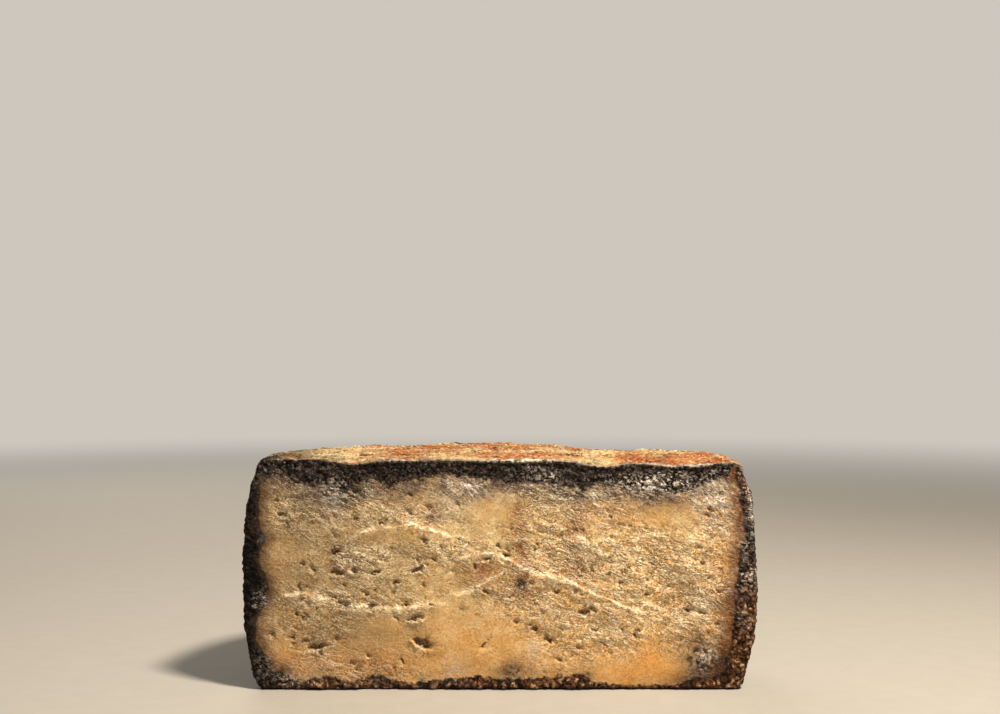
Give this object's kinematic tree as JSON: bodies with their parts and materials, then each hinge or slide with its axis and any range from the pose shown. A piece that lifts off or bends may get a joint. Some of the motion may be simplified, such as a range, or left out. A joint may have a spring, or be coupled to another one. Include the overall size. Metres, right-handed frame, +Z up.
{
  "type": "gamoneu cheese half wheel",
  "caption": "Half of a tall round blue-veined cheese with a thick mouldy rind, resting on its base with its torn, pitted cut face upright.",
  "frame": {"origin": "middle of the half wheel's bounding box, on the surface that it rests on", "axes": "+X along the cut face, from its left to its right as seen; the cut face looks towards -Y; +Z up, along the wheel's axis"},
  "size_m": [0.222, 0.113, 0.1005],
  "materials": {
    "cheese": "matte"
  },
  "bodies": {
    "root": {"cheese": "cheese"}
  },
  "joints": []
}
